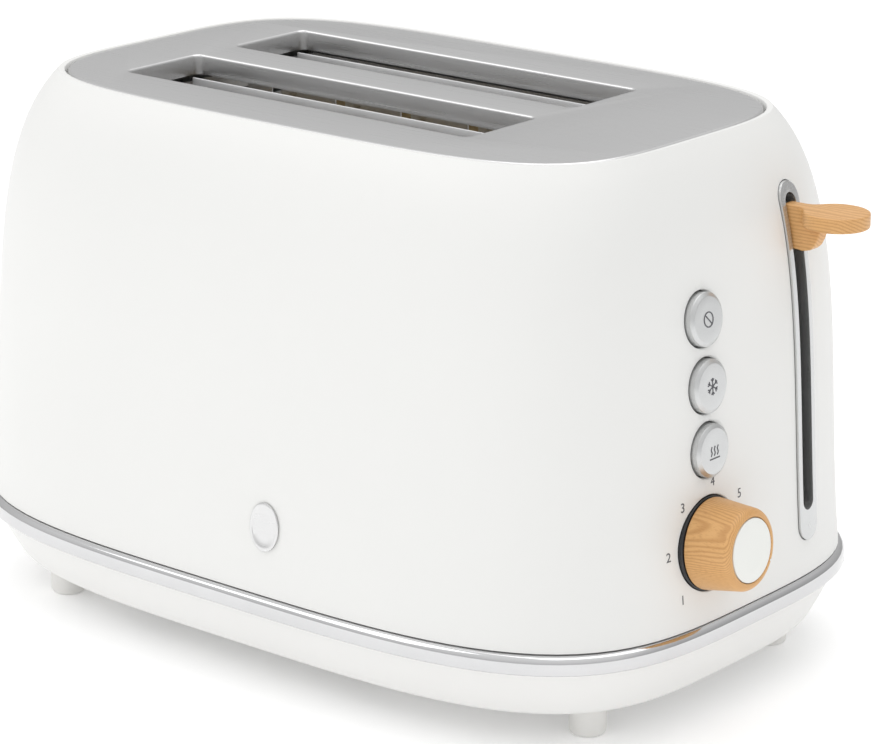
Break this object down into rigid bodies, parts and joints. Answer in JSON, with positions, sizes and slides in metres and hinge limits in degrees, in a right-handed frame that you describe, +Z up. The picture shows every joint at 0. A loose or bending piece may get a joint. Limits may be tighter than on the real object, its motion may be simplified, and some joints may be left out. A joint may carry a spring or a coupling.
{
  "type": "pop up toaster",
  "caption": "Rounded pop up toaster with long bread slots, a curved matte white casing on a chrome band, wood-effect lever and browning knob, round buttons and a pull-out crumb tray.",
  "frame": {"origin": "under the middle of the whole toaster's box, on the surface that its feet stand on", "axes": "+X towards the control end with the lever, buttons and knob, along the bread slots; +Z up; the badge is on the -Y side"},
  "size_m": [0.3026, 0.1976, 0.1822],
  "materials": {
    "matte_white_casing": "matte soft-touch paint on moulded plastic",
    "brushed_stainless": "satin brushed stainless steel",
    "polished_chrome": "polished chrome plate",
    "white_plastic": "satin moulded white plastic",
    "white_rubber": "soft white rubber",
    "wood_effect": "honey-coloured wood effect, satin",
    "satin_silver": "satin silver finish",
    "zinc_sheet": "zinc-plated sheet steel",
    "black_plastic": "moulded black plastic",
    "mica": "pressed mica sheet",
    "heater_ribbon": "oxidised resistance ribbon",
    "copper": "enamelled copper winding",
    "circuit_board": "green circuit board"
  },
  "bodies": {
    "casing": {"outer_shell": "matte_white_casing", "top_plate": "brushed_stainless", "trim_band": "polished_chrome", "badge": "brushed_stainless", "base_skirt": "white_plastic", "foot_near_control": "white_rubber", "foot_far_control": "white_rubber", "foot_near_rear": "white_rubber", "foot_far_rear": "white_rubber", "base_screw_1": "zinc_sheet", "base_screw_2": "zinc_sheet", "base_screw_3": "zinc_sheet", "base_screw_4": "zinc_sheet", "cord_gland": "black_plastic", "lever_trim": "satin_silver", "guide_rod": "brushed_stainless", "return_spring": "brushed_stainless", "rod_upper_bracket": "zinc_sheet", "rod_lower_bracket": "zinc_sheet", "front_end_plate": "zinc_sheet", "rear_end_plate": "zinc_sheet", "near_reflector": "zinc_sheet", "far_reflector": "zinc_sheet", "near_outer_heater_board": "mica", "near_outer_heater_ribbon": "heater_ribbon", "near_centre_heater_board": "mica", "near_centre_heater_ribbon": "heater_ribbon", "far_centre_heater_board": "mica", "far_centre_heater_ribbon": "heater_ribbon", "far_outer_heater_board": "mica", "far_outer_heater_ribbon": "heater_ribbon", "magnet_core": "zinc_sheet", "magnet_coil": "copper", "magnet_bracket": "zinc_sheet", "control_board": "circuit_board", "power_board": "circuit_board", "terminal_block": "white_plastic", "cancel_switch": "black_plastic", "defrost_switch": "black_plastic", "reheat_switch": "black_plastic", "knob_bezel": "black_plastic", "browning_switch": "black_plastic"},
    "carriage": {"carriage_plate": "zinc_sheet", "near_lifter": "zinc_sheet", "far_lifter": "zinc_sheet", "keeper": "zinc_sheet", "lever_arm": "zinc_sheet", "lever_handle": "wood_effect"},
    "near_outer_guide": {"near_outer_guide": "zinc_sheet"},
    "near_inner_guide": {"near_inner_guide": "zinc_sheet"},
    "far_inner_guide": {"far_inner_guide": "zinc_sheet"},
    "far_outer_guide": {"far_outer_guide": "zinc_sheet"},
    "cancel_button": {"cancel_button": "satin_silver"},
    "defrost_button": {"defrost_button": "satin_silver"},
    "reheat_button": {"reheat_button": "satin_silver"},
    "browning_knob": {"browning_knob": "wood_effect", "knob_cap": "white_plastic", "knob_shaft": "zinc_sheet"},
    "crumb_tray": {"crumb_tray": "zinc_sheet", "tray_handle": "white_plastic"}
  },
  "joints": [
    {"name": "carriage_slide", "type": "slide", "parent": "casing", "child": "carriage", "axis": [-0.1016, 0, 0.9948], "range_m": [-0.0854, 0], "stiffness_N_per_m": 40, "springref_m": 0.1, "deforming": ["return_spring"]},
    {"name": "near_outer_guide_slide", "type": "slide", "parent": "casing", "child": "near_outer_guide", "axis": [0, 1, 0], "range_m": [0, 0.006]},
    {"name": "near_inner_guide_slide", "type": "slide", "parent": "casing", "child": "near_inner_guide", "axis": [0, -1, 0], "range_m": [0, 0.006]},
    {"name": "far_inner_guide_slide", "type": "slide", "parent": "casing", "child": "far_inner_guide", "axis": [0, 1, 0], "range_m": [0, 0.006]},
    {"name": "far_outer_guide_slide", "type": "slide", "parent": "casing", "child": "far_outer_guide", "axis": [0, -1, 0], "range_m": [0, 0.006]},
    {"name": "cancel_press", "type": "slide", "parent": "casing", "child": "cancel_button", "axis": [0.9906, 0, 0.137], "range_m": [-0.0022, 0], "stiffness_N_per_m": 400, "springref_m": 0.001},
    {"name": "defrost_press", "type": "slide", "parent": "casing", "child": "defrost_button", "axis": [0.9965, 0, 0.0842], "range_m": [-0.0022, 0], "stiffness_N_per_m": 400, "springref_m": 0.001},
    {"name": "reheat_press", "type": "slide", "parent": "casing", "child": "reheat_button", "axis": [0.9979, 0, 0.0654], "range_m": [-0.0022, 0], "stiffness_N_per_m": 400, "springref_m": 0.001},
    {"name": "knob_turn", "type": "hinge", "parent": "casing", "child": "browning_knob", "pos_m": [0.13406, -0.022, 0.0609], "axis": [0.997, 0, 0.0774], "range_deg": [-15, 255]},
    {"name": "tray_slide", "type": "slide", "parent": "casing", "child": "crumb_tray", "axis": [-1, 0, 0], "range_m": [0, 0.19]}
  ],
  "couplings": [
    {"joint": "near_outer_guide_slide", "follows": "carriage_slide", "ratio": -0.07},
    {"joint": "near_inner_guide_slide", "follows": "carriage_slide", "ratio": -0.07},
    {"joint": "far_inner_guide_slide", "follows": "carriage_slide", "ratio": -0.07},
    {"joint": "far_outer_guide_slide", "follows": "carriage_slide", "ratio": -0.07}
  ]
}
